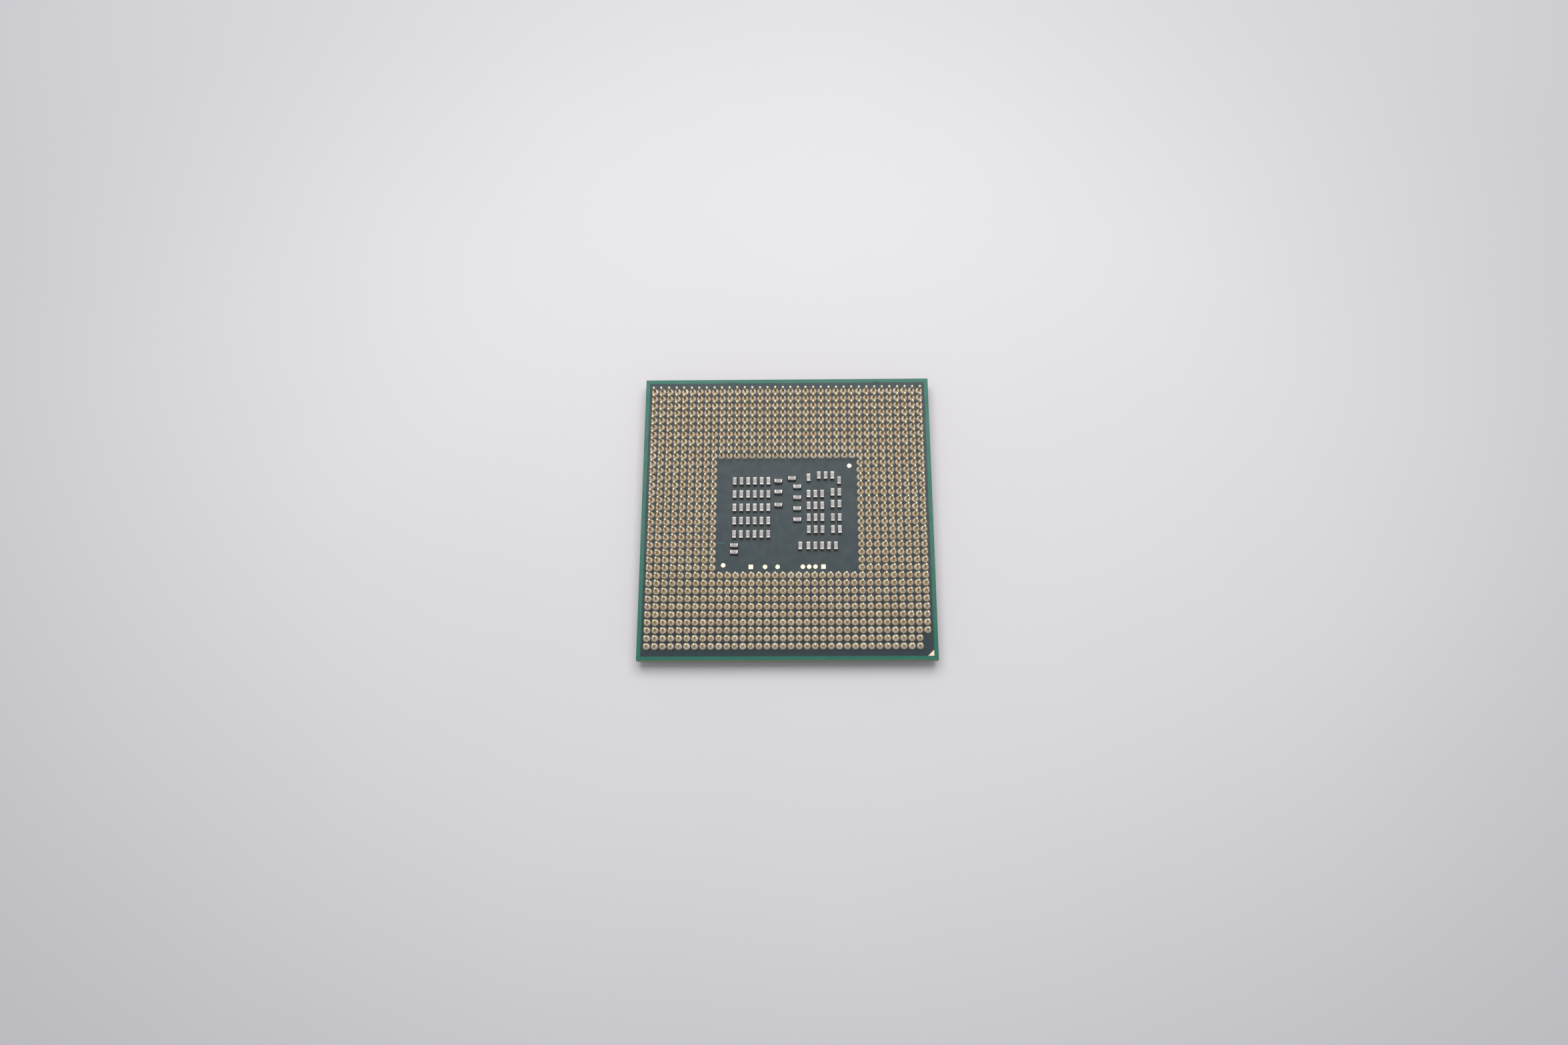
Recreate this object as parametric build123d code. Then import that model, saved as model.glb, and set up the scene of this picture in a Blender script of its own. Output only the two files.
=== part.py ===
from build123d import *
import os

os.makedirs("parts", exist_ok=True)

# A bare flip-chip processor package lying on the backs of its two dies, with its pins up.
# The origin is the middle of the footprint, on the surface that the dies rest on.
# +Z points up along the pins, +X runs along the pin columns, +Y along the pin rows.
# All sizes are in millimetres.

# Board
board_size = 37.5
border_without_copper = 0.5
core_thickness = 0.8
film_thickness = 0.06
films_per_side = 3
mask_thickness = 0.02
core_copper_thickness = 0.03
plane_thickness = 0.015
pad_thickness = 0.015

# Dies, named by what they do, each with its size in X and Y
die_gap_middle_x = -0.25
die_gap = 1.7
cpu_die_size = (8.2, 9.9)
graphics_die_size = (9.6, 11.9)
die_centre_y = 0.6
die_thickness = 0.78
bump_height = 0.07
bump_radius = 0.06
bump_pitch = 0.7
bump_margin = 0.3
underfill_width = 0.75
underfill_climb = 0.55

# Pin field
pin_pitch = 1.0
pin_columns = 36
pin_rows = 35
bare_columns = 18
bare_rows = 15
key_places = 2
pin_height = 1.7
pin_radius = 0.1525
pin_tip_bevel = 0.07
head_radius = 0.31
head_thickness = 0.10
head_solder = 0.04
bead_radius = 0.425
bead_crest = 0.18
bead_shoulder = 0.12
bead_crest_radius = 0.35
pad_radius = 0.44

# Plated holes in the core
hole_pitch = 2.5
holes_per_row = 14
hole_radius = 0.125
hole_plating = 0.04

# Chip capacitors
chip_length = 1.0
chip_width = 0.5
terminal_length = 0.2
terminal_wall = 0.015
chip_round = 0.03
chip_standoff = 0.02
chip_pad_length = 0.4
chip_pad_outer_end = 0.62
chip_solder_width = 0.42
chip_solder_climb = 0.24

# Gold marks on the pin side
test_pad_size = 0.56
test_pad_pitch = 0.8
test_pad_row_y = -6.885
test_pad_start_x = -2.785
test_pad_steps = (0, 2, 6, 7, 8)
square_pad_xs = (-4.585, 4.625)
fiducial_places = ((8.13, 6.58), (-8.10, -6.66))
corner_mark_leg = 0.75
corner_mark_x = 18.21
corner_mark_y = -18.23

# Gold marks on the die side
die_side_fiducial_offset = 15.5
die_side_fiducial_size = 1.0

# Heights that follow from the sizes above
die_face_z = die_thickness
board_bottom_z = die_thickness + bump_height
build_up_thickness = mask_thickness + films_per_side * film_thickness
core_bottom_z = board_bottom_z + build_up_thickness
core_top_z = core_bottom_z + core_thickness
film_top_z = core_top_z + films_per_side * film_thickness
pad_top_z = film_top_z + pad_thickness
board_top_z = film_top_z + mask_thickness
film_bottom_z = board_bottom_z + mask_thickness
copper_size = board_size - 2 * border_without_copper

# Die centres: each die lies on its own side of the gap between them
cpu_die_centre = (die_gap_middle_x - (die_gap + cpu_die_size[0]) / 2, die_centre_y)
graphics_die_centre = (die_gap_middle_x + (die_gap + graphics_die_size[0]) / 2, die_centre_y)


# Layouts

def pin_places():
    """Every pin place as (x, y), with the bare middle and the key corner left out."""
    places = []
    for column in range(pin_columns):
        for row in range(pin_rows):
            x = (column - (pin_columns - 1) / 2) * pin_pitch
            y = ((pin_rows - 1) / 2 - row) * pin_pitch
            in_middle = abs(x) < bare_columns * pin_pitch / 2 and abs(y) < bare_rows * pin_pitch / 2
            in_key = column == pin_columns - 1 and row >= pin_rows - key_places
            if not in_middle and not in_key:
                places.append((x, y))
    return places


def pin_blocks():
    """The pin places in four blocks round the bare middle."""
    half_middle = bare_rows * pin_pitch / 2
    blocks = {"rear": [], "left": [], "right": [], "front": []}
    for x, y in pin_places():
        if y > half_middle:
            blocks["rear"].append((x, y))
        elif y < -half_middle:
            blocks["front"].append((x, y))
        elif x < 0:
            blocks["left"].append((x, y))
        else:
            blocks["right"].append((x, y))
    return blocks


def bank(first_x, step_x, columns, first_y, step_y, rows, turn):
    """A rectangular bank of capacitor places as (x, y, turn about Z in degrees)."""
    places = []
    for column in range(columns):
        for row in range(rows):
            places.append((first_x + column * step_x, first_y - row * step_y, turn))
    return places


def chip_places():
    """Every capacitor place as (x, y, turn): 0 lies along X and 90 along Y."""
    close_step = 0.872
    places = bank(-6.74, close_step, 6, 4.42, 1.78, 5, 90)
    places += bank(-1.10, 0, 1, 4.42, 1.46, 2, 0)
    places += [(-1.10, 1.20, 0), (0.66, 4.78, 0)]
    places += bank(1.335, 0, 1, 3.66, 1.476, 4, 0)
    places += [(2.81, 4.87, 90), (6.76, 4.46, 90)]
    places += bank(4.15, close_step, 3, 5.16, 0, 1, 90)
    places += bank(2.805, close_step, 3, 2.66, 1.587, 4, 90)
    places += bank(5.89, close_step, 2, 2.86, 1.57, 2, 90)
    places += bank(5.89, close_step, 2, -0.51, 1.59, 2, 90)
    places += [(1.71, -4.23, 90)]
    places += bank(2.74, close_step, 5, -4.23, 0, 1, 90)
    places += bank(-6.73, 0, 1, -4.14, 0.89, 2, 0)
    return places


def test_pad_places():
    """The round test pads, in one row with some places left out."""
    return [(test_pad_start_x + step * test_pad_pitch, test_pad_row_y) for step in test_pad_steps]


def square_pad_places():
    """The square test pads, at the two ends of the same row."""
    return [(x, test_pad_row_y) for x in square_pad_xs]


def die_side_fiducial_places():
    """Two fiducials in opposite corners of the die side."""
    offset = die_side_fiducial_offset
    return [(-offset, offset), (offset, -offset)]


def bump_places(centre, size):
    """The bump places under one die, on a square pitch inside a margin."""
    columns = int((size[0] - 2 * bump_margin) / bump_pitch) + 1
    rows = int((size[1] - 2 * bump_margin) / bump_pitch) + 1
    places = []
    for column in range(columns):
        for row in range(rows):
            x = centre[0] + (column - (columns - 1) / 2) * bump_pitch
            y = centre[1] + (row - (rows - 1) / 2) * bump_pitch
            places.append((x, y))
    return places


def hole_places():
    """The plated holes of the core, on a square pitch."""
    middle = (holes_per_row - 1) / 2
    steps = [(step - middle) * hole_pitch for step in range(holes_per_row)]
    return [(x, y) for x in steps for y in steps]


# Shapes

def slab(size, bottom_z, thickness):
    """A square plate about the middle of the board."""
    return Pos(0, 0, bottom_z + thickness / 2) * Box(size, size, thickness)


def disc(radius, bottom_z, thickness):
    """A round plate on the Z axis."""
    return Pos(0, 0, bottom_z + thickness / 2) * Cylinder(radius, thickness)


def spread(solid, places):
    """Copies of one solid at every (x, y) place."""
    return [Pos(x, y, 0) * solid for x, y in places]


def circle_wires(places, radius, z):
    """Circles for openings, one at every (x, y) place."""
    return [Wire.make_circle(radius, Plane(origin=(x, y, z))) for x, y in places]


def square_wires(places, size, z):
    """Squares for openings, one at every (x, y) place."""
    return [Wire.make_rect(size, size, Plane(origin=(x, y, z))) for x, y in places]


def pierced_slab(wires, size, bottom_z, thickness):
    """A square plate with an opening for every inner wire, which lies at its bottom."""
    outline = Wire.make_rect(size, size, Plane(origin=(0, 0, bottom_z)))
    return Solid.extrude(Face(outline, wires), Vector(0, 0, thickness))


def corner_triangle(z, mirrored):
    """The outline of the corner mark, with its right angle towards the board's corner."""
    x = -corner_mark_x if mirrored else corner_mark_x
    inward = corner_mark_leg if mirrored else -corner_mark_leg
    corner = Vector(x, corner_mark_y, z)
    along_x = Vector(x + inward, corner_mark_y, z)
    along_y = Vector(x, corner_mark_y + corner_mark_leg, z)
    return Wire.make_polygon([corner, along_x, along_y], close=True)


def corner_mark(bottom_z, thickness, mirrored):
    """The triangular mark in the corner where the key pins are left out."""
    return Solid.extrude(Face(corner_triangle(bottom_z, mirrored)), Vector(0, 0, thickness))


# Core

def core_laminate():
    """The glass-fibre core, drilled for its plated holes."""
    wires = circle_wires(hole_places(), hole_radius, core_bottom_z)
    return [pierced_slab(wires, board_size, core_bottom_z, core_thickness)]


def core_hole_sleeves():
    """The copper sleeves that line the core's holes."""
    outside = disc(hole_radius, core_bottom_z, core_thickness)
    inside = disc(hole_radius - hole_plating, core_bottom_z, core_thickness)
    return spread(outside - inside, hole_places())


def core_hole_plugs():
    """The resin that fills the copper sleeves."""
    return spread(disc(hole_radius - hole_plating, core_bottom_z, core_thickness), hole_places())


# Build-up layers. A film lies over the copper on the layer below, so it has a pocket for it.

def film(level, pin_side):
    """One build-up film, counted outwards from the core."""
    copper = core_copper_thickness if level == 1 else plane_thickness
    if pin_side:
        bottom_z = core_top_z + (level - 1) * film_thickness
        pocket_z = bottom_z
    else:
        bottom_z = core_bottom_z - level * film_thickness
        pocket_z = bottom_z + film_thickness - copper
    return [slab(board_size, bottom_z, film_thickness) - slab(copper_size, pocket_z, copper)]


def copper_sheet(level, pin_side):
    """The copper in the pocket of one film: level 1 lies on the core."""
    copper = core_copper_thickness if level == 1 else plane_thickness
    if pin_side:
        bottom_z = core_top_z + (level - 1) * film_thickness
    else:
        bottom_z = core_bottom_z - (level - 1) * film_thickness - copper
    return [slab(copper_size, bottom_z, copper)]


# Pin side

def chip_pad_wires(z):
    """The outlines of all capacitor pads at one height."""
    middle = chip_pad_outer_end - chip_pad_length / 2
    wires = []
    for x, y, turn in chip_places():
        for side in (-1, 1):
            place = Location((x, y, z), (0, 0, turn)) * Pos(side * middle, 0, 0)
            wires.append(place * Wire.make_rect(chip_pad_length, chip_width))
    return wires


def solder_mask_pin_side():
    """The lacquer on the pin side, open at every pad and mark."""
    z = film_top_z
    wires = circle_wires(pin_places(), pad_radius, z)
    wires += circle_wires(test_pad_places() + list(fiducial_places), test_pad_size / 2, z)
    wires += square_wires(square_pad_places(), test_pad_size, z)
    wires += chip_pad_wires(z)
    wires.append(corner_triangle(z, False))
    return [pierced_slab(wires, board_size, z, mask_thickness)]


def pin_pads():
    """The round pads under the pins."""
    return spread(disc(pad_radius, film_top_z, pad_thickness), pin_places())


def chip_pads():
    """The rectangular pads under the capacitor ends."""
    up = Vector(0, 0, pad_thickness)
    return [Solid.extrude(Face(wire), up) for wire in chip_pad_wires(film_top_z)]


def round_pads(places):
    """Small round gold pads on the pin side."""
    return spread(disc(test_pad_size / 2, film_top_z, pad_thickness), places)


def square_pads():
    """Small square gold pads on the pin side."""
    middle_z = film_top_z + pad_thickness / 2
    pad = Pos(0, 0, middle_z) * Box(test_pad_size, test_pad_size, pad_thickness)
    return spread(pad, square_pad_places())


def turned(points, bottom_z):
    """A solid turned about the Z axis from (radius, height) points, with heights from bottom_z."""
    profile = make_face(Plane.XZ * Polyline(points, close=True))
    return Pos(0, 0, bottom_z) * revolve(profile, Axis.Z)


def pin():
    """One contact pin: a flat head on solder, and a shank with a bevelled tip."""
    head_top = head_solder + head_thickness
    tip = board_top_z + pin_height - pad_top_z
    points = [(0, head_solder), (head_radius, head_solder), (head_radius, head_top), (pin_radius, head_top)]
    points += [(pin_radius, tip - pin_tip_bevel), (pin_radius - pin_tip_bevel, tip), (0, tip)]
    return turned(points, pad_top_z)


def pin_bead():
    """The solder of one pin: a layer under the head, and a raised rim round it."""
    head_top = head_solder + head_thickness
    points = [(0, 0), (bead_radius, 0), (bead_radius, bead_shoulder), (bead_crest_radius, bead_crest)]
    points += [(head_radius, head_top), (head_radius, head_solder), (0, head_solder)]
    return turned(points, pad_top_z)


# Capacitors, each modelled lying along X with its middle above the origin

chip_bottom_z = pad_top_z + chip_standoff
chip_middle_z = chip_bottom_z + chip_width / 2


def chip_ceramic():
    """The ceramic body, which is a little smaller than the terminals round its ends."""
    length = chip_length - 2 * terminal_wall
    width = chip_width - 2 * terminal_wall
    return Pos(0, 0, chip_middle_z) * Box(length, width, width)


def chip_terminal(ceramic):
    """The metal cap on the end of the body that points to +X."""
    middle_x = (chip_length - terminal_length) / 2
    cap = Box(terminal_length, chip_width, chip_width)
    cap = fillet(cap.edges().filter_by(Axis.X), chip_round)
    return Pos(middle_x, 0, chip_middle_z) * cap - ceramic


def chip_solder():
    """The solder under and beyond the end of the body that points to +X."""
    end = chip_length / 2
    inner = end - terminal_length
    toe = (chip_pad_outer_end, 0)
    heel = (end, chip_solder_climb)
    hollow = (end + 0.035, chip_solder_climb * 0.42)
    arc = ThreePointArc(toe, hollow, heel)
    rest = Polyline(heel, (end, chip_standoff), (inner, chip_standoff), (inner, 0), toe)
    profile = make_face(Plane.XZ * (arc + rest))
    solid = extrude(profile, chip_solder_width / 2, both=True)
    return Pos(0, 0, pad_top_z) * solid


def place_chips(solid, both_ends):
    """Copies of one solid at every capacitor, at one or both of its ends."""
    copies = []
    for x, y, turn in chip_places():
        for end_turn in ((0, 180) if both_ends else (0,)):
            copies.append(Location((x, y, 0), (0, 0, turn + end_turn)) * solid)
    return copies


# Die side

def all_bump_places():
    """The bump places of both dies."""
    places = bump_places(cpu_die_centre, cpu_die_size)
    return places + bump_places(graphics_die_centre, graphics_die_size)


def solder_mask_die_side():
    """The lacquer on the die side, open at every bump and mark."""
    z = board_bottom_z
    wires = circle_wires(all_bump_places(), bump_radius, z)
    wires += circle_wires(die_side_fiducial_places(), die_side_fiducial_size / 2, z)
    wires.append(corner_triangle(z, True))
    return [pierced_slab(wires, board_size, z, mask_thickness)]


def die_side_fiducials():
    """The round gold marks on the die side."""
    bottom_z = film_bottom_z - pad_thickness
    return spread(disc(die_side_fiducial_size / 2, bottom_z, pad_thickness), die_side_fiducial_places())


def die(centre, size):
    """One silicon die, back down."""
    return [Pos(centre[0], centre[1], die_thickness / 2) * Box(size[0], size[1], die_thickness)]


def bumps(centre, size):
    """The solder bumps of one die, which reach through the mask to the outer film."""
    bump = disc(bump_radius, die_face_z, film_bottom_z - die_face_z)
    return spread(bump, bump_places(centre, size))


def underfill_slope(reach, climb):
    """The hollow cross-section of the resin beside a die: X runs outwards and Y up to the board."""
    hollow = ThreePointArc((0, -climb), (reach * 0.34, -climb * 0.36), (reach, 0))
    return make_face(hollow + Polyline((reach, 0), (0, 0), (0, -climb)))


def underfill(centre, size):
    """The resin under one die and in a hollow slope round it, turned about each corner."""
    plane = Plane(origin=(centre[0], centre[1], die_face_z))
    outline = Wire.make_rect(size[0], size[1], plane)
    wires = circle_wires(bump_places(centre, size), bump_radius, die_face_z)
    whole = Solid.extrude(Face(outline, wires), Vector(0, 0, bump_height))
    slope = Plane.XZ * underfill_slope(underfill_width, underfill_climb)
    corner = revolve(slope, Axis.Z, 90)
    for quarter in range(4):
        along, across = size if quarter % 2 else (size[1], size[0])
        side = extrude(slope, along / 2, both=True)
        place = Location((centre[0], centre[1], board_bottom_z), (0, 0, 90 * quarter))
        whole += place * Pos(across / 2, 0, 0) * side
        whole += place * Pos(across / 2, along / 2, 0) * corner
    return [whole]


def write(name, solids):
    """Write one node's solids as one STEP file."""
    export_step(Compound(solids), "parts/" + name + ".step")


def write_board():
    """Write the core, the build-up layers and both masks."""
    write("core_laminate", core_laminate())
    write("core_hole_sleeves", core_hole_sleeves())
    write("core_hole_plugs", core_hole_plugs())
    for pin_side, side in ((True, "pin_side"), (False, "die_side")):
        for level in range(1, films_per_side + 1):
            write(f"build_up_film_{side}_{level}", film(level, pin_side))
            name = f"core_copper_{side}" if level == 1 else f"copper_plane_{side}_{level - 1}"
            write(name, copper_sheet(level, pin_side))
    write("solder_mask_pin_side", solder_mask_pin_side())
    write("solder_mask_die_side", solder_mask_die_side())


def write_pin_side():
    """Write the pads, marks, pins and capacitors."""
    write("pin_pads", pin_pads())
    write("capacitor_pads", chip_pads())
    write("test_pads_round", round_pads(test_pad_places()))
    write("test_pads_square", square_pads())
    write("fiducials_pin_side", round_pads(fiducial_places))
    write("corner_mark_pin_side", [corner_mark(film_top_z, pad_thickness, False)])
    one_pin = pin()
    one_bead = pin_bead()
    for block, places in pin_blocks().items():
        write("pins_" + block, spread(one_pin, places))
        write("pin_solder_" + block, spread(one_bead, places))
    ceramic = chip_ceramic()
    write("capacitor_bodies", place_chips(ceramic, False))
    write("capacitor_terminals", place_chips(chip_terminal(ceramic), True))
    write("capacitor_solder", place_chips(chip_solder(), True))


def write_die_side():
    """Write the dies, what joins them to the board, and the marks beside them."""
    dies = {"cpu": (cpu_die_centre, cpu_die_size), "graphics": (graphics_die_centre, graphics_die_size)}
    for name, (centre, size) in dies.items():
        write(name + "_die", die(centre, size))
        write(name + "_bumps", bumps(centre, size))
        write(name + "_underfill", underfill(centre, size))
    write("fiducials_die_side", die_side_fiducials())
    mark_z = film_bottom_z - pad_thickness
    write("corner_mark_die_side", [corner_mark(mark_z, pad_thickness, True)])


write_board()
write_pin_side()
write_die_side()
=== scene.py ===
import math

import bmesh
import bpy
import numpy as np
from mathutils import Matrix, Vector


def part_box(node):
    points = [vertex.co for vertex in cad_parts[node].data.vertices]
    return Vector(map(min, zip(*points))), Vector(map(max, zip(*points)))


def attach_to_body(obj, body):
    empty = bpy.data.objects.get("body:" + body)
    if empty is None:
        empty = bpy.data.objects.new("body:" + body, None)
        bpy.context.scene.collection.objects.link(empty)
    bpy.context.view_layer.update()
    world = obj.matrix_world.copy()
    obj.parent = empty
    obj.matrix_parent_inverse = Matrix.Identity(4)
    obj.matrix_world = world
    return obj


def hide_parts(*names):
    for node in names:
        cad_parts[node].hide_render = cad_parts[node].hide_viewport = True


# A bare flip-chip processor package, pins up on a pale table. Lengths in this file are in
# millimetres, and are turned into metres where a mesh, a material, a light or the camera is made.

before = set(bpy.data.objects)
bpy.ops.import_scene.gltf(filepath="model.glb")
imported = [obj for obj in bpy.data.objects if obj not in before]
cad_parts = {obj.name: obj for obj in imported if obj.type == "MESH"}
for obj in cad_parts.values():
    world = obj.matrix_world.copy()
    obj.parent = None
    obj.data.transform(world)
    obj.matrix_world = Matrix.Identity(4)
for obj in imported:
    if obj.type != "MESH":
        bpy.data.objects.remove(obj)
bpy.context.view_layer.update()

MM = 0.001
SEED = 20

# Pins. TIP_ROUNDING is how far in from the shank's side and down from the tip each ring lies.
PIN_SEGMENTS = 16
PIN_RADIUS = 0.1525
PIN_LEAN_DEGREES = 0.42
TIP_ROUNDING = ((0, 0.11), (0.012, 0.066), (0.034, 0.034), (0.064, 0.014), (0.102, 0.004))
HEAD_RADIUS = 0.31
HEAD_THICKNESS = 0.10
HEAD_SOLDER = 0.04
HEAD_BEVEL = 0.01
SHANK_FILLET = 0.05
PIN_SMOOTH_DEGREES = 45

# The outline of a solder bead, from its foot on the pad to its seat inside the shank
BEAD_SEGMENTS = 20
BEAD_RADIUS = 0.437
BEAD_CREST = 0.19
# (in from the bead's radius, up from the pad)
BEAD_SIDE = ((0.004, 0), (0, 0.012), (0.012, 0.065), (0.042, 0.120))
# (in from the bead's radius, down from the crest)
BEAD_TOP = ((0.085, 0.028), (0.140, 0))
# (radius, up from the crest)
BEAD_HOLLOW = ((0.250, 0.018), (0.210, 0.036), (0.180, 0.066), (0.163, 0.104))
BEAD_CLIMB = 0.135
BEAD_SEAT = 0.06
BEAD_SKIN = 0.001
BEAD_OVERLAP = 0.004
BEAD_SMOOTH_DEGREES = 50

# How much the beads differ, and how far up the foot of a bead keeps its shape
BEAD_SHIFT = 0.008
BEAD_RIPPLE = 0.018
BEAD_SPREAD = 0.015
BEAD_RISE = 0.016
BEAD_WAVE_RISE = 0.02
BEAD_FOOT = 0.1
BRIGHT_BEADS = 0.18
DULL_TONE = 0.55

# Capacitors
CHIP_LENGTH = 1.0
CHIP_WIDTH = 0.5
CHIP_ROUND = 0.035
BODY_ROUND = 0.021
CHIP_SMOOTH_DEGREES = 35
CHIP_ASKEW_DEGREES = 0.9
LINE_STRETCH = 0.12
TERMINAL_LENGTH = 0.2
TERMINAL_WALL = 0.015
TERMINAL_RIM = 0.006
TERMINAL_GAP = 0.004
SOLDER_REACH = 0.09
SOLDER_WIDTH = 0.42
SOLDER_CLIMB = 0.24
SOLDER_TOE = 0.012
SOLDER_TAPER = 0.30
SOLDER_PULL = 0.55
SOLDER_SMOOTH_DEGREES = 40
SOLDER_STEPS = 6
SOLDER_ROWS = 7

# Board and table
COPPER_HALF = 18.25
BORDER_BLUR = 0.03
SMUDGES = ((-7.4, 0.75), (12.0, 0.6))
SMUDGE_Y = 18.22
TABLE_HALF = 1500


# Places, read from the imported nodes

def node_boxes(*names):
    """The (low, high) corners of every separate solid in some CAD nodes, in millimetres."""
    boxes = []
    for name in names:
        work = bmesh.new()
        work.from_mesh(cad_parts[name].data)
        bmesh.ops.remove_doubles(work, verts=work.verts, dist=1e-7)
        seen = set()
        for start in work.verts:
            if start in seen:
                continue
            seen.add(start)
            stack = [start]
            corners = []
            while stack:
                vert = stack.pop()
                corners.append(vert.co / MM)
                for edge in vert.link_edges:
                    other = edge.other_vert(vert)
                    if other not in seen:
                        seen.add(other)
                        stack.append(other)
            corners = np.array(corners)
            boxes.append((corners.min(0), corners.max(0)))
        work.free()
    return boxes


PIN_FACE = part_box("solder_mask_pin_side")[1].z / MM
PAD_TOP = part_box("pin_pads")[1].z / MM
PIN_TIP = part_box("pins_rear")[1].z / MM


# Meshes

def make_piece(name, verts, faces, material, smooth_angle=None, tones=None):
    """A mesh piece from points in millimetres. tones holds named rows of one number a vertex."""
    mesh = bpy.data.meshes.new(name)
    mesh.from_pydata((np.asarray(verts) * MM).tolist(), [], faces)
    mesh.update()
    for key, values in (tones or {}).items():
        layer = mesh.attributes.new(key, "FLOAT", "POINT")
        layer.data.foreach_set("value", np.asarray(values, dtype=np.float32))
    piece = bpy.data.objects.new(name, mesh)
    bpy.context.scene.collection.objects.link(piece)
    mesh.materials.append(material)
    mesh.shade_smooth()
    if smooth_angle is not None:
        mesh.set_sharp_from_angle(angle=math.radians(smooth_angle))
    return piece


def lathe(profile, segments):
    """A closed surface turned about Z. The (radius, height) points start and end on the axis."""
    ring_points = profile[1:-1]
    turns = np.arange(segments) * 2 * math.pi / segments
    verts = [(0, 0, profile[0][1])]
    for radius, height in ring_points:
        verts += [(radius * math.cos(t), radius * math.sin(t), height) for t in turns]
    verts.append((0, 0, profile[-1][1]))
    last = len(verts) - 1
    top = last - segments
    faces = []
    for i in range(segments):
        j = (i + 1) % segments
        faces.append((0, 1 + j, 1 + i))
        for ring in range(len(ring_points) - 1):
            low = 1 + ring * segments
            high = low + segments
            faces.append((low + i, low + j, high + j, high + i))
        faces.append((last, top + i, top + j))
    return np.array(verts, float), faces


def array_of(faces, placed):
    """One mesh from placed copies of one template: its faces, and a vertex array for each copy."""
    count = len(placed[0])
    all_faces = []
    for index in range(len(placed)):
        shift = index * count
        all_faces += [tuple(corner + shift for corner in face) for face in faces]
    return np.concatenate(placed), all_faces


def bmesh_arrays(work):
    """A bmesh's points and faces as plain arrays."""
    work.verts.ensure_lookup_table()
    verts = np.array([vert.co[:] for vert in work.verts], float)
    faces = [tuple(vert.index for vert in face.verts) for face in work.faces]
    work.free()
    return verts, faces


def rounded_box(size, radius, segments=3):
    """A box about the origin with every edge rounded."""
    work = bmesh.new()
    bmesh.ops.create_cube(work, size=1)
    for vert in work.verts:
        vert.co = Vector(vert.co[i] * size[i] for i in range(3))
    bmesh.ops.bevel(work, geom=work.edges[:], offset=radius, segments=segments,
                    profile=0.5, affect="EDGES")
    work.verts.index_update()
    return work


# Materials

class Shade:
    """A small writer of node trees: each method adds a node and returns its output."""

    def __init__(self, name):
        self.material = bpy.data.materials.new(name)
        self.material.use_nodes = True
        self.tree = self.material.node_tree
        self.shader = self.tree.nodes["Principled BSDF"]
        self.place = self.add("ShaderNodeTexCoord").outputs["Object"]

    def add(self, kind, **settings):
        node = self.tree.nodes.new(kind)
        for key, value in settings.items():
            setattr(node, key, value)
        return node

    def put(self, socket, value):
        """Link an output, or set a plain value."""
        if isinstance(value, bpy.types.NodeSocket):
            self.tree.links.new(value, socket)
        elif value is not None:
            socket.default_value = value

    def set(self, name, value):
        self.put(self.shader.inputs[name], value)

    def colour(self, value):
        return (*value, 1.0) if isinstance(value, tuple) and len(value) == 3 else value

    def noise(self, per_mm, detail=2.0, rough=0.5, vector=None):
        """Noise with the given number of features in a millimetre."""
        node = self.add("ShaderNodeTexNoise")
        self.put(node.inputs["Vector"], vector or self.place)
        node.inputs["Scale"].default_value = per_mm / MM
        node.inputs["Detail"].default_value = detail
        node.inputs["Roughness"].default_value = rough
        return node.outputs["Fac"]

    def stretched(self, factors):
        """The object's coordinates, scaled apart along its axes."""
        node = self.add("ShaderNodeMapping")
        self.put(node.inputs["Vector"], self.place)
        node.inputs["Scale"].default_value = factors
        return node.outputs["Vector"]

    def math(self, operation, a, b=None):
        node = self.add("ShaderNodeMath", operation=operation)
        self.put(node.inputs[0], a)
        self.put(node.inputs[1], b)
        return node.outputs[0]

    def axis(self, letter):
        node = self.add("ShaderNodeSeparateXYZ")
        self.put(node.inputs[0], self.place)
        return node.outputs[letter]

    def ramp(self, value, low, high, to_low=0.0, to_high=1.0):
        """The value's smooth way from low to high, as a number from to_low to to_high."""
        node = self.add("ShaderNodeMapRange", interpolation_type="SMOOTHSTEP")
        self.put(node.inputs["Value"], value)
        node.inputs["From Min"].default_value = low
        node.inputs["From Max"].default_value = high
        node.inputs["To Min"].default_value = to_low
        node.inputs["To Max"].default_value = to_high
        return node.outputs["Result"]

    def mix(self, factor, a, b):
        node = self.add("ShaderNodeMix", data_type="RGBA")
        self.put(node.inputs[0], factor)
        self.put(node.inputs[6], self.colour(a))
        self.put(node.inputs[7], self.colour(b))
        return node.outputs[2]

    def attribute(self, name, output="Fac"):
        return self.add("ShaderNodeAttribute", attribute_name=name).outputs[output]

    def bump(self, height, depth_mm, strength, below=None):
        node = self.add("ShaderNodeBump")
        self.put(node.inputs["Height"], height)
        node.inputs["Distance"].default_value = depth_mm * MM
        node.inputs["Strength"].default_value = strength
        self.put(node.inputs["Normal"], below)
        return node.outputs["Normal"]

    def near(self, x, y, reach_x, reach_y, wobble=0.35, per_mm=2.5):
        """1 inside a ragged oval at (x, y) on the board, 0 outside it."""
        across = self.math("DIVIDE", self.math("SUBTRACT", self.axis("X"), x * MM), reach_x * MM)
        along = self.math("DIVIDE", self.math("SUBTRACT", self.axis("Y"), y * MM), reach_y * MM)
        squares = [self.math("MULTIPLY", way, way) for way in (across, along)]
        wave = self.math("SUBTRACT", self.noise(per_mm, 4.0), 0.5)
        ragged = self.math("MULTIPLY", wave, wobble * 4)
        return self.ramp(self.math("ADD", self.math("ADD", *squares), ragged), 1.15, 0.75)


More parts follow.
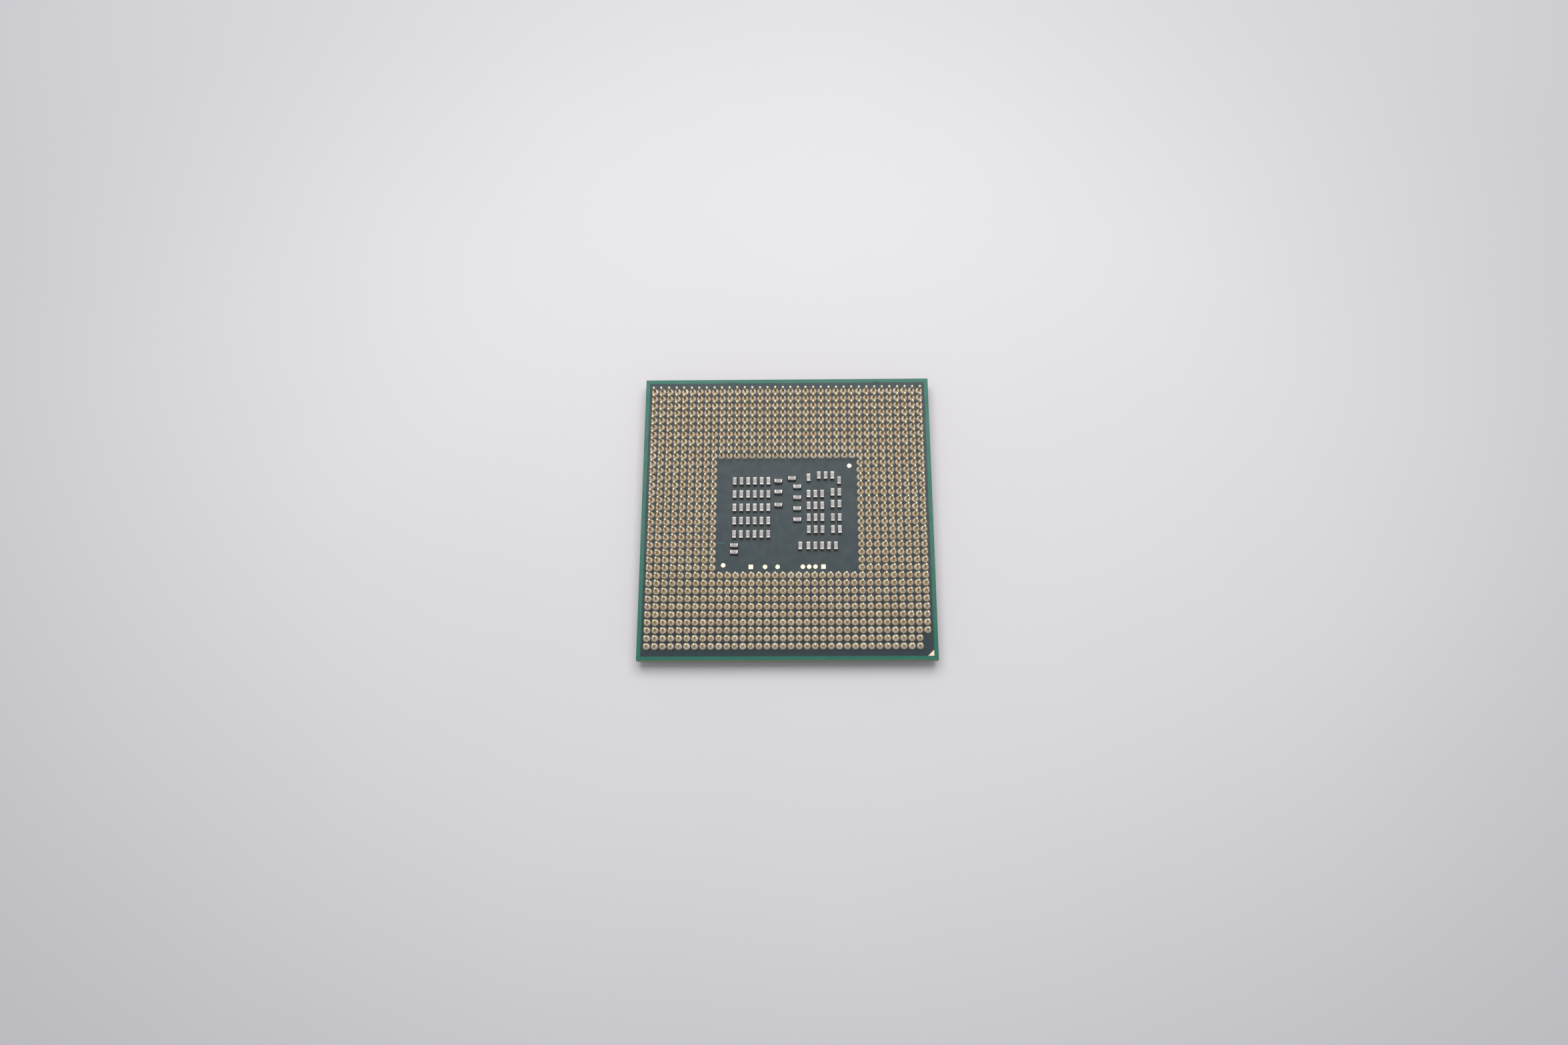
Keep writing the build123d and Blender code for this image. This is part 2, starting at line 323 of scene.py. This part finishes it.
def linear(red, green, blue):
    """A screen colour from 0 to 255 as a linear colour."""
    def one(value):
        value /= 255
        return value / 12.92 if value <= 0.04045 else ((value + 0.055) / 1.055) ** 2.4
    return (one(red), one(green), one(blue))


def mask_pin_material():
    """Dark lacquer over copper, paler along the border, with specks, a scuff and smudges."""
    s = Shade("pin side lacquer")
    across = s.math("ABSOLUTE", s.axis("X"))
    along = s.math("ABSOLUTE", s.axis("Y"))
    reach = s.math("MAXIMUM", across, along)
    border = s.ramp(reach, (COPPER_HALF - BORDER_BLUR) * MM, (COPPER_HALF + BORDER_BLUR) * MM)
    mottle = s.noise(0.35, 5.0, 0.6)
    grain = s.noise(9.0, 3.0, 0.6)
    inner = s.mix(mottle, linear(26, 50, 57), linear(36, 59, 67))
    rim = s.mix(s.noise(0.5, 4.0), linear(12, 108, 88), linear(30, 124, 104))
    base = s.mix(border, inner, rim)
    base = s.mix(s.ramp(grain, 0.35, 0.75, 0.0, 0.25), base, linear(38, 48, 50))
    scuff = s.near(-8.4, -3.75, 0.55, 0.10, 0.5, 6.0)
    base = s.mix(s.math("MULTIPLY", scuff, 0.55), base, linear(40, 112, 118))
    base = s.mix(s.near(7.8, 3.8, 0.09, 0.06), base, linear(18, 18, 18))
    for x, reach_x in SMUDGES:
        smudge = s.math("MULTIPLY", s.near(x, SMUDGE_Y, reach_x, 0.24), 0.5)
        base = s.mix(smudge, base, linear(22, 42, 40))
    s.set("Base Color", base)
    s.set("Roughness", s.ramp(s.noise(0.9, 4.0), 0.3, 0.7, 0.26, 0.36))
    s.set("Normal", s.bump(s.noise(2.2, 5.0, 0.6), 0.006, 0.5))
    s.shader.inputs["IOR"].default_value = 1.385
    return s.material


def mask_die_material():
    """Green lacquer with the faint relief of the tracks under it."""
    s = Shade("die side lacquer")
    mottle = s.noise(0.3, 5.0, 0.6)
    base = s.mix(mottle, linear(28, 74, 52), linear(42, 96, 68))
    tracks = s.add("ShaderNodeTexWave", wave_type="RINGS", rings_direction="Z")
    s.put(tracks.inputs["Vector"], s.place)
    tracks.inputs["Scale"].default_value = 900
    tracks.inputs["Distortion"].default_value = 9.0
    tracks.inputs["Detail"].default_value = 2.0
    tracks.inputs["Detail Scale"].default_value = 0.6
    lines = s.ramp(tracks.outputs["Fac"], 0.55, 0.8)
    base = s.mix(s.math("MULTIPLY", lines, 0.12), base, linear(66, 122, 86))
    s.set("Base Color", base)
    s.set("Roughness", s.ramp(s.noise(0.8, 4.0), 0.3, 0.7, 0.25, 0.42))
    relief = s.bump(lines, 0.004, 0.4)
    s.set("Normal", s.bump(s.noise(2.0, 5.0, 0.6), 0.006, 0.4, relief))
    s.shader.inputs["IOR"].default_value = 1.42
    return s.material


def laminate_material():
    """The sawn edge of glass-fibre laminate: fine fibre ends and darker resin."""
    s = Shade("laminate edge")
    fibres = s.noise(6.0, 4.0, 0.7, s.stretched((1.0, 1.0, 5.0)))
    weave = s.noise(0.9, 3.0, 0.5, s.stretched((1.0, 1.0, 8.0)))
    base = s.mix(fibres, linear(134, 112, 72), linear(196, 172, 126))
    base = s.mix(s.ramp(weave, 0.45, 0.7, 0.0, 0.5), base, linear(96, 92, 58))
    s.set("Base Color", base)
    s.set("Roughness", s.ramp(fibres, 0.2, 0.8, 0.55, 0.85))
    s.set("Normal", s.bump(fibres, 0.02, 0.6))
    return s.material


def film_material():
    """The cut edge of a build-up film."""
    s = Shade("build-up film edge")
    cut = s.noise(5.0, 4.0, 0.6, s.stretched((1.0, 1.0, 0.2)))
    s.set("Base Color", s.mix(cut, linear(74, 92, 62), linear(124, 128, 84)))
    s.set("Roughness", s.ramp(cut, 0.2, 0.8, 0.45, 0.7))
    s.set("Normal", s.bump(cut, 0.01, 0.5))
    return s.material


def copper_material(name, dark, pale):
    """Plated copper with grain and tarnish. It lies inside the board."""
    s = Shade(name)
    grain = s.noise(8.0, 4.0, 0.6)
    s.set("Base Color", s.mix(grain, dark, pale))
    s.shader.inputs["Metallic"].default_value = 1.0
    s.set("Roughness", s.ramp(grain, 0.2, 0.8, 0.25, 0.45))
    s.set("Normal", s.bump(grain, 0.004, 0.4))
    return s.material


def resin_material(name, dark, pale, rough):
    """A cast resin with fine filler in it."""
    s = Shade(name)
    filler = s.noise(14.0, 5.0, 0.7)
    halves = [s.math("MULTIPLY", part, 0.5) for part in (filler, s.noise(0.8, 3.0))]
    s.set("Base Color", s.mix(s.math("ADD", *halves), dark, pale))
    s.set("Roughness", s.ramp(filler, 0.2, 0.8, rough - 0.08, rough + 0.10))
    s.set("Normal", s.bump(filler, 0.008, 0.5))
    return s.material


def gold_pad_material():
    """Bright plated gold with the fine pebble of the copper under it."""
    s = Shade("plated gold pad")
    pebble = s.noise(14.0, 4.0, 0.6)
    stain = s.noise(1.6, 3.0, 0.5)
    base = s.mix(pebble, (0.67, 0.51, 0.36), (0.77, 0.61, 0.46))
    base = s.mix(s.ramp(stain, 0.55, 0.8, 0.0, 0.25), base, (0.58, 0.42, 0.27))
    s.set("Base Color", base)
    s.shader.inputs["Metallic"].default_value = 1.0
    s.set("Roughness", s.ramp(pebble, 0.2, 0.8, 0.28, 0.45))
    s.set("Normal", s.bump(pebble, 0.006, 0.5))
    return s.material


def pin_material():
    """Thin gold on the shank and solder at its foot. The lower shank is darkened as painted shade,
    and the tip is painted pale cream as a painted highlight.
    """
    s = Shade("gold pin")
    height = s.axis("Z")
    tone = s.attribute("tone")
    # Painted highlight: the top of each pin is painted pale cream, less metallic and rougher, in
    # place of the overhead light's reflection.
    painted_tip_highlight = s.ramp(height, (PIN_TIP - 0.45) * MM, (PIN_TIP - 0.12) * MM)
    # Painted shade: the lower shank darkens towards the board, in place of the dark surroundings
    # it reflects.
    foot = s.ramp(height, (PIN_FACE + 1.20) * MM, (PIN_FACE + 0.85) * MM)
    climb = s.ramp(height, (PIN_FACE + 0.68) * MM, (PIN_FACE + 0.44) * MM)
    drawn = s.noise(10.0, 3.0, 0.6, s.stretched((1.0, 1.0, 0.12)))
    base = s.mix(tone, (0.70, 0.53, 0.25), (0.86, 0.68, 0.36))
    # Painted shade: dark brown over the lower shank.
    base = s.mix(s.math("MULTIPLY", foot, 0.85), base, (0.33, 0.245, 0.115))
    base = s.mix(s.ramp(drawn, 0.5, 0.75, 0.0, 0.30), base, (0.46, 0.38, 0.20))
    base = s.mix(climb, base, (0.82, 0.70, 0.54))
    # Painted highlight: pale cream over the top of the pin.
    base = s.mix(painted_tip_highlight, base, (1.0, 0.91, 0.66))
    s.set("Base Color", base)
    # The painted highlight and the solder climb make the metal less metallic and rougher.
    dull = s.math("ADD", s.math("MULTIPLY", painted_tip_highlight, 0.40), s.math("MULTIPLY", climb, 0.45))
    rough = s.math("ADD", s.math("MULTIPLY", painted_tip_highlight, 0.16), s.math("MULTIPLY", climb, 0.34))
    s.set("Metallic", s.math("SUBTRACT", 1.0, dull))
    s.set("Roughness", s.math("ADD", s.ramp(drawn, 0.2, 0.8, 0.12, 0.26), rough))
    s.set("Normal", s.bump(drawn, 0.006, 0.4))
    return s.material


def bead_material():
    """Reflowed solder with crystals, in its own warm tone. Its raised rim is painted paler as a
    painted highlight, and the part inside it tan as painted shade and a painted reflection of the
    gold pin.
    """
    s = Shade("pin solder")
    radius = s.attribute("reach")
    tone = s.attribute("tone")
    crystals = s.noise(9.0, 4.0, 0.65)
    # Painted light: the inner colour is tan for painted shade and a painted reflection of the pin.
    # The outer colour is pale for a painted highlight on the rim.
    inner = s.mix(tone, (0.74, 0.61, 0.44), (0.86, 0.75, 0.58))
    outer = s.mix(tone, (0.83, 0.70, 0.55), (0.94, 0.86, 0.73))
    # The painted highlight and painted shade are blended by distance from the pin.
    base = s.mix(s.ramp(radius, 0.17, 0.33), inner, outer)
    base = s.mix(s.ramp(crystals, 0.5, 0.8, 0.0, 0.35), base, (0.60, 0.48, 0.34))
    s.set("Base Color", base)
    s.shader.inputs["Metallic"].default_value = 0.6
    s.set("Roughness", s.ramp(crystals, 0.2, 0.8, 0.42, 0.62))
    s.set("Normal", s.bump(crystals, 0.012, 0.6))
    return s.material


def terminal_material():
    """Matte plated tin on the capacitor ends."""
    s = Shade("tinned terminal")
    grain = s.noise(12.0, 4.0, 0.65)
    tone = s.attribute("tone")
    base = s.mix(tone, (0.44, 0.42, 0.40), (0.56, 0.54, 0.52))
    s.set("Base Color", s.mix(s.ramp(grain, 0.5, 0.85, 0.0, 0.4), base, (0.34, 0.32, 0.30)))
    s.shader.inputs["Metallic"].default_value = 0.9
    s.set("Roughness", s.ramp(grain, 0.2, 0.8, 0.36, 0.55))
    s.set("Normal", s.bump(grain, 0.008, 0.6))
    return s.material


def ceramic_material():
    """The capacitors' fired body, with fine lengthwise lines and a little spread of tone."""
    s = Shade("capacitor ceramic")
    grain = s.noise(12.0, 4.0, 0.7)
    tone = s.attribute("tone")
    line = s.noise(14.0, 2.0, 0.5, s.attribute("lengthwise", "Vector"))
    base = s.mix(tone, (0.40, 0.375, 0.375), (0.50, 0.47, 0.47))
    base = s.mix(s.ramp(line, 0.45, 0.7, 0.0, 0.6), base, (0.62, 0.60, 0.60))
    base = s.mix(s.ramp(grain, 0.55, 0.8, 0.0, 0.4), base, (0.31, 0.29, 0.29))
    s.set("Base Color", base)
    s.set("Roughness", s.ramp(grain, 0.2, 0.8, 0.40, 0.62))
    s.set("Normal", s.bump(line, 0.006, 0.5))
    return s.material


def solder_material():
    """The small fillets at the capacitor ends, dark grey: partly the solder's own colour, partly
    painted shade.
    """
    s = Shade("capacitor solder")
    grain = s.noise(10.0, 4.0, 0.65)
    # Painted shade: the fillets' grey is darker than the solder's own colour.
    s.set("Base Color", s.mix(grain, (0.20, 0.19, 0.18), (0.40, 0.38, 0.36)))
    s.shader.inputs["Metallic"].default_value = 0.9
    s.set("Roughness", s.ramp(grain, 0.2, 0.8, 0.30, 0.48))
    s.set("Normal", s.bump(grain, 0.008, 0.6))
    return s.material


def silicon_material():
    """Ground and polished silicon: near mirror, with fine grinding arcs and faint smears."""
    s = Shade("polished silicon")
    arcs = s.add("ShaderNodeTexWave", wave_type="RINGS", rings_direction="Z")
    s.put(arcs.inputs["Vector"], s.stretched((1.0, 1.15, 1.0)))
    arcs.inputs["Scale"].default_value = 6000
    arcs.inputs["Distortion"].default_value = 0.6
    arcs.inputs["Detail"].default_value = 2.0
    smear = s.noise(0.5, 4.0, 0.6)
    s.set("Base Color", s.mix(smear, (0.20, 0.21, 0.24), (0.28, 0.29, 0.32)))
    s.shader.inputs["Metallic"].default_value = 1.0
    s.set("Roughness", s.ramp(smear, 0.3, 0.75, 0.06, 0.20))
    s.set("Normal", s.bump(arcs.outputs["Fac"], 0.0008, 0.3))
    return s.material


# Pieces

def pin_profile():
    """The outline of a pin from the underside of its head to its round tip."""
    head_low = PAD_TOP + HEAD_SOLDER
    head_high = head_low + HEAD_THICKNESS
    points = [(0, head_low), (HEAD_RADIUS - HEAD_BEVEL, head_low),
              (HEAD_RADIUS, head_low + HEAD_BEVEL), (HEAD_RADIUS, head_high - HEAD_BEVEL),
              (HEAD_RADIUS - HEAD_BEVEL, head_high)]
    for degrees in (0, 30, 60, 90):
        turn = math.radians(degrees)
        out = SHANK_FILLET * (1 - math.sin(turn))
        points.append((PIN_RADIUS + out, head_high + SHANK_FILLET * (1 - math.cos(turn))))
    for part in (0.33, 0.66):
        points.append((PIN_RADIUS, head_high + part * (PIN_TIP - head_high)))
    points += [(PIN_RADIUS - inward, PIN_TIP - down) for inward, down in TIP_ROUNDING]
    return points + [(0, PIN_TIP)]


def bead_profile():
    """The outline of a pin's solder: side, crest, the hollow round the shank, and its seat."""
    head_low = PAD_TOP + HEAD_SOLDER
    head_high = head_low + HEAD_THICKNESS
    crest = PAD_TOP + BEAD_CREST
    in_shank = PIN_RADIUS - BEAD_OVERLAP
    points = [(0, PAD_TOP)]
    points += [(BEAD_RADIUS - inward, PAD_TOP + up) for inward, up in BEAD_SIDE]
    points += [(BEAD_RADIUS - inward, crest - down) for inward, down in BEAD_TOP]
    points += [(radius, crest + up) for radius, up in BEAD_HOLLOW]
    points.append((PIN_RADIUS + BEAD_SKIN, crest + BEAD_CLIMB))
    points += [(in_shank, crest + BEAD_SEAT), (in_shank, head_high)]
    return points + [(HEAD_RADIUS, head_high), (HEAD_RADIUS, head_low), (0, head_low)]


def swollen_bead(points, place, offset, rng):
    """One bead's points: rippled, shifted and raised a little its own way, its foot on its pad."""
    turn = np.arctan2(points[:, 1], points[:, 0])
    reach = np.hypot(points[:, 0], points[:, 1])
    outside = np.clip((reach - HEAD_RADIUS) / (BEAD_RADIUS - HEAD_RADIUS), 0, 1)
    above = np.clip((points[:, 2] - PAD_TOP - HEAD_SOLDER) / BEAD_CREST, 0, 1)
    free = outside * np.clip((points[:, 2] - PAD_TOP) / BEAD_FOOT, 0, 1)
    two, three, wide, high = rng.uniform(-1, 1, 4)
    turns = rng.uniform(0, 2 * math.pi, 2)
    wave = two * np.sin(2 * turn + turns[0]) + three * np.sin(3 * turn + turns[1])
    swell = 1 + free * (BEAD_RIPPLE * wave + BEAD_SPREAD * wide)
    bead = points.copy()
    for axis in (0, 1):
        bead[:, axis] = bead[:, axis] * swell + place[axis] + offset[axis] * free
    bead[:, 2] += above * (BEAD_RISE * high + BEAD_WAVE_RISE * wave)
    return bead


def attach(piece, node, slot):
    """The piece rides on the package and stands for its CAD node."""
    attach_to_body(piece, "root")
    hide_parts(node)


def make_pins(block, rng, pin_look, bead_look):
    """The pins of one block, each leaning a little its own way, and their solder."""
    places = [(low + high) / 2 for low, high in node_boxes("pins_" + block)]
    count = len(places)
    pin_points, pin_faces = lathe(pin_profile(), PIN_SEGMENTS)
    bead_points, bead_faces = lathe(bead_profile(), BEAD_SEGMENTS)
    lean = rng.normal(0, math.radians(PIN_LEAN_DEGREES), (count, 2))
    shift = rng.normal(0, BEAD_SHIFT, (count, 2))
    tone = rng.uniform(0, 1, count)
    height = np.maximum(pin_points[:, 2] - PIN_FACE, 0)
    pins = []
    beads = []
    for place, tilt, offset in zip(places, lean, shift):
        moved = pin_points.copy()
        moved[:, 0] += place[0] + tilt[0] * height
        moved[:, 1] += place[1] + tilt[1] * height
        pins.append(moved)
        beads.append(swollen_bead(bead_points, place, offset, rng))
    verts, faces = array_of(pin_faces, pins)
    tones = {"tone": np.repeat(tone, len(pin_points))}
    piece = make_piece("gold_pins_" + block, verts, faces, pin_look, PIN_SMOOTH_DEGREES, tones)
    attach(piece, "pins_" + block, "gold_pin")
    verts, faces = array_of(bead_faces, beads)
    is_bright = rng.uniform(0, 1, count) < BRIGHT_BEADS
    bright = np.where(is_bright, 1.0, DULL_TONE * rng.uniform(0, 1, count))
    reach = np.hypot(bead_points[:, 0], bead_points[:, 1])
    tones = {"tone": np.repeat(bright, len(bead_points)), "reach": np.tile(reach, count)}
    piece = make_piece("pin_beads_" + block, verts, faces, bead_look, BEAD_SMOOTH_DEGREES, tones)
    attach(piece, "pin_solder_" + block, "pin_solder")


def chip_terminal(size):
    """A metal cap for the end that points to +X: a rounded box with a pocket for the body."""
    work = rounded_box((TERMINAL_LENGTH, size[1], size[2]), CHIP_ROUND)
    inner = min(work.faces, key=lambda face: face.calc_center_median().x)
    bmesh.ops.inset_region(work, faces=[inner], thickness=TERMINAL_RIM, use_even_offset=True)
    pocket = bmesh.ops.extrude_face_region(work, geom=[inner])
    moved = [item for item in pocket["geom"] if isinstance(item, bmesh.types.BMVert)]
    bmesh.ops.delete(work, geom=[inner], context="FACES")
    bmesh.ops.translate(work, verts=moved, vec=(TERMINAL_LENGTH - 2 * TERMINAL_WALL, 0, 0))
    middle_x = (size[0] - TERMINAL_LENGTH) / 2
    bmesh.ops.translate(work, verts=work.verts, vec=(middle_x, 0, 0))
    bmesh.ops.recalc_face_normals(work, faces=work.faces)
    work.verts.index_update()
    return bmesh_arrays(work)


def chip_body(size):
    """The ceramic between and inside the caps."""
    length, width, height = (side - 2 * TERMINAL_WALL for side in size)
    return bmesh_arrays(rounded_box((length - TERMINAL_GAP, width, height), BODY_ROUND, 2))


def chip_solder(size, floor_z):
    """The hollow fillet from the pad up the end that points to +X, narrower at its toe."""
    end = size[0] / 2
    profile = [(end - TERMINAL_LENGTH, floor_z), (end + SOLDER_REACH, floor_z)]
    for step in range(1, SOLDER_STEPS):
        part = step / SOLDER_STEPS
        out = SOLDER_REACH * (1 - part) ** 2
        profile.append((end + out, floor_z + SOLDER_TOE + SOLDER_CLIMB * part ** 1.5))
    profile.append((end, floor_z + SOLDER_CLIMB))
    profile += [(end, -size[2] / 2), (end - TERMINAL_LENGTH, -size[2] / 2)]
    count = len(profile)
    last = SOLDER_ROWS - 1
    verts = []
    for row in range(SOLDER_ROWS):
        side = 2 * row / last - 1
        pull = 1 - SOLDER_PULL * side ** 4
        for x, z in profile:
            beyond = max(0.0, x - end)
            half = SOLDER_WIDTH / 2 * (1 - SOLDER_TAPER * beyond / SOLDER_REACH)
            verts.append((end + beyond * pull if beyond else x, side * half, z))
    faces = [tuple(range(count - 1, -1, -1)), tuple(last * count + i for i in range(count))]
    for row in range(last):
        for i in range(count):
            j = (i + 1) % count
            low = row * count
            faces.append((low + i, low + j, low + count + j, low + count + i))
    return np.array(verts, float), faces


def make_capacitors(rng):
    """Bodies, metal caps and solder of every capacitor. Body and caps sit slightly askew."""
    boxes = node_boxes("capacitor_bodies")
    cap_low, cap_high = (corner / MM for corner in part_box("capacitor_terminals"))
    size = (CHIP_LENGTH, CHIP_WIDTH, cap_high.z - cap_low.z)
    middle_z = (cap_high.z + cap_low.z) / 2
    shapes = {"capacitor_ceramics": chip_body(size), "capacitor_caps": chip_terminal(size),
              "capacitor_fillets": chip_solder(size, PAD_TOP - middle_z)}
    ends = {name: (0,) if name == "capacitor_ceramics" else (0, 180) for name in shapes}
    placed = {name: [] for name in shapes}
    tones = rng.uniform(0, 1, len(boxes))
    lengthwise = []
    for low, high in boxes:
        x, y = ((low + high) / 2)[:2]
        along_y = 90 if high[1] - low[1] > high[0] - low[0] else 0
        askew = rng.normal(0, CHIP_ASKEW_DEGREES)
        for name, (points, _) in shapes.items():
            for end in ends[name]:
                fixed = 0 if name == "capacitor_fillets" else askew
                turn = Matrix.Rotation(math.radians(end + fixed + along_y), 3, "Z")
                placed[name].append(points @ np.array(turn).T + (x, y, middle_z))
            if name == "capacitor_ceramics":
                lengthwise.append(points * (LINE_STRETCH, 1, 1) + rng.uniform(-50, 50, 3))
    looks = {"capacitor_ceramics": (ceramic_material(), CHIP_SMOOTH_DEGREES),
             "capacitor_caps": (terminal_material(), CHIP_SMOOTH_DEGREES),
             "capacitor_fillets": (solder_material(), SOLDER_SMOOTH_DEGREES)}
    stands_for = {"capacitor_ceramics": ("capacitor_bodies", "capacitor_ceramic"),
                  "capacitor_caps": ("capacitor_terminals", "tinned_terminal"),
                  "capacitor_fillets": ("capacitor_solder", "capacitor_solder")}
    for name, (points, faces) in shapes.items():
        look, smooth_angle = looks[name]
        verts, all_faces = array_of(faces, placed[name])
        each = np.repeat(tones, len(points) * len(ends[name]))
        piece = make_piece(name, verts, all_faces, look, smooth_angle, {"tone": each})
        if name == "capacitor_ceramics":
            layer = piece.data.attributes.new("lengthwise", "FLOAT_VECTOR", "POINT")
            layer.data.foreach_set("vector", (np.concatenate(lengthwise) * MM).ravel())
        attach(piece, *stands_for[name])


def dress_nodes():
    """Materials for the CAD nodes that stay."""
    films = film_material()
    copper = copper_material("copper", (0.62, 0.30, 0.17), (0.80, 0.44, 0.28))
    bump = copper_material("bump solder", (0.50, 0.49, 0.47), (0.70, 0.69, 0.66))
    plug = resin_material("hole plug resin", linear(84, 78, 66), linear(120, 112, 96), 0.6)
    underfill = resin_material("underfill", linear(26, 26, 30), linear(52, 50, 52), 0.32)
    gold = gold_pad_material()
    # The capacitor pads are dark grey: partly the solder over them, partly painted shade at the
    # capacitor ends.
    pad_solder_and_shade = resin_material("pad solder and painted shade", linear(44, 46, 44), linear(74, 74, 70), 0.5)
    silicon = silicon_material()
    looks = {"core_laminate": laminate_material(), "core_hole_plugs": plug,
             "core_hole_sleeves": copper, "capacitor_pads": pad_solder_and_shade,
             "solder_mask_pin_side": mask_pin_material(),
             "solder_mask_die_side": mask_die_material()}
    for name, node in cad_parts.items():
        look = looks.get(name)
        if name.startswith("build_up_film"):
            look = films
        elif name.startswith(("core_copper", "copper_plane")):
            look = copper
        elif name.endswith("_bumps"):
            look = bump
        elif name.endswith("_underfill"):
            look = underfill
        elif name.endswith("_die"):
            look = silicon
        elif look is None:
            look = gold
        node.data.materials.clear()
        node.data.materials.append(look)


# Surroundings

def make_floor():
    """A wide pale table top, painted greyer away from the middle as painted shade where the light
    falls off.
    """
    s = Shade("pale table")
    cloud = s.noise(0.02, 4.0)
    tooth = s.noise(2.0, 4.0)
    away = s.add("ShaderNodeVectorMath", operation="LENGTH")
    s.put(away.inputs[0], s.stretched((0.77, 1.0, 1.0)))
    # Painted shade: the table darkens away from the middle, in place of the light's falloff.
    painted_falloff = s.ramp(away.outputs["Value"], 35 * MM, 105 * MM, 0.0, 0.8)
    base = s.mix(cloud, linear(228, 227, 232), linear(234, 233, 238))
    s.set("Base Color", s.mix(painted_falloff, base, linear(212, 211, 216)))
    s.set("Roughness", s.ramp(tooth, 0.2, 0.8, 0.60, 0.72))
    s.set("Normal", s.bump(tooth, 0.01, 0.15))
    s.shader.inputs["Specular IOR Level"].default_value = 0.12
    half = TABLE_HALF
    corners = [(-half, -half, 0), (half, -half, 0), (half, half, 0), (-half, half, 0)]
    floor = make_piece("table", corners, [(0, 1, 2, 3)], s.material)


def make_light(name, place, target, size, power, tint):
    """A soft rectangular light that points at a target."""
    data = bpy.data.lights.new(name, "AREA")
    data.shape = "RECTANGLE"
    data.size = size[0] * MM
    data.size_y = size[1] * MM
    data.energy = power
    data.color = tint
    light = bpy.data.objects.new(name, data)
    light.location = Vector(place) * MM
    light.rotation_euler = (Vector(target) - Vector(place)).to_track_quat("-Z", "Y").to_euler()
    bpy.context.scene.collection.objects.link(light)


def make_lights():
    world = bpy.data.worlds.new("studio")
    world.use_nodes = True
    backdrop = world.node_tree.nodes["Background"]
    backdrop.inputs["Color"].default_value = (0.96, 0.97, 1.0, 1.0)
    backdrop.inputs["Strength"].default_value = 0.39
    bpy.context.scene.world = world
    make_light("overhead", (0, 108, 215), (0, 8, 0), (260, 170), 0.455, (1.0, 0.985, 0.965))
    bpy.context.scene.view_settings.view_transform = "Standard"


def make_camera():
    """The camera above and in front of the package, looking down and a little away."""
    data = bpy.data.cameras.new("camera")
    data.sensor_width = 36.0
    data.lens = 23.46
    data.clip_start = 0.005
    data.clip_end = 20
    camera = bpy.data.objects.new("camera", data)
    tilt = Matrix.Rotation(math.radians(15.46), 4, "X")
    roll = Matrix.Rotation(math.radians(0.926), 4, "Y")
    turn = Matrix.Rotation(math.radians(-0.280), 4, "Z")
    place = Matrix.Translation(Vector((1.746, -36.011, 126.378 + PIN_FACE)) * MM)
    camera.matrix_world = place @ tilt @ roll @ turn
    bpy.context.scene.collection.objects.link(camera)
    bpy.context.scene.camera = camera


random_source = np.random.default_rng(SEED)
make_camera()
make_lights()
make_floor()
dress_nodes()
pin_look = pin_material()
bead_look = bead_material()
for block_name in ("rear", "left", "right", "front"):
    make_pins(block_name, random_source, pin_look, bead_look)
make_capacitors(random_source)
